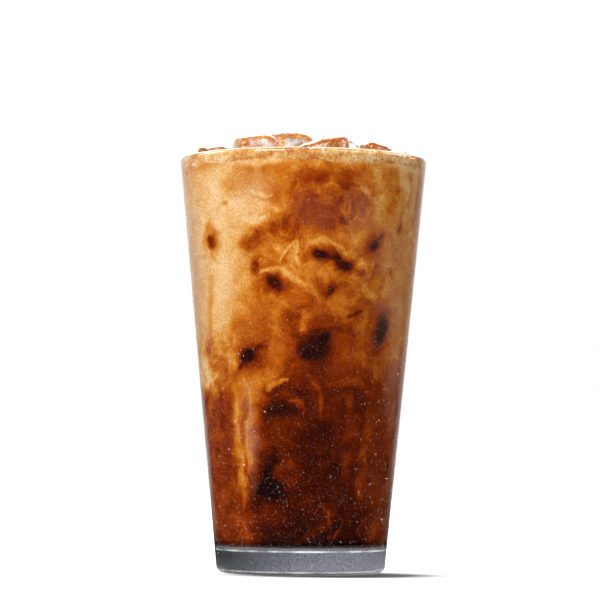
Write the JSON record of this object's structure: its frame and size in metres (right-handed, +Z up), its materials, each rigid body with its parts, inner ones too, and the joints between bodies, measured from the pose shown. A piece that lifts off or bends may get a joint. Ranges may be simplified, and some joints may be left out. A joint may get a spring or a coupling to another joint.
{
  "type": "iced coffee in a pint glass",
  "caption": "Tapered clear pint glass filled with milky iced coffee, with melting ice heaped above the rim.",
  "frame": {"origin": "centre of the underside of the glass, on the surface that it stands on", "axes": "+Z up along the axis of the glass, -Y towards the side shown in the picture"},
  "size_m": [0.0888, 0.0888, 0.1599],
  "materials": {
    "glass": "clear, with a fine mist of cold dew outside",
    "coffee": "milky liquid, glossy, marbled from cream to nearly black",
    "ice": "wet, clear, melting"
  },
  "bodies": {
    "root": {"glass": "glass", "drink": "coffee", "ice_1": "ice", "ice_2": "ice", "ice_3": "ice", "ice_4": "ice", "ice_5": "ice", "ice_6": "ice", "ice_7": "ice", "ice_8": "ice", "ice_9": "ice", "ice_10": "ice", "ice_11": "ice", "ice_12": "ice", "ice_13": "ice"}
  },
  "joints": []
}
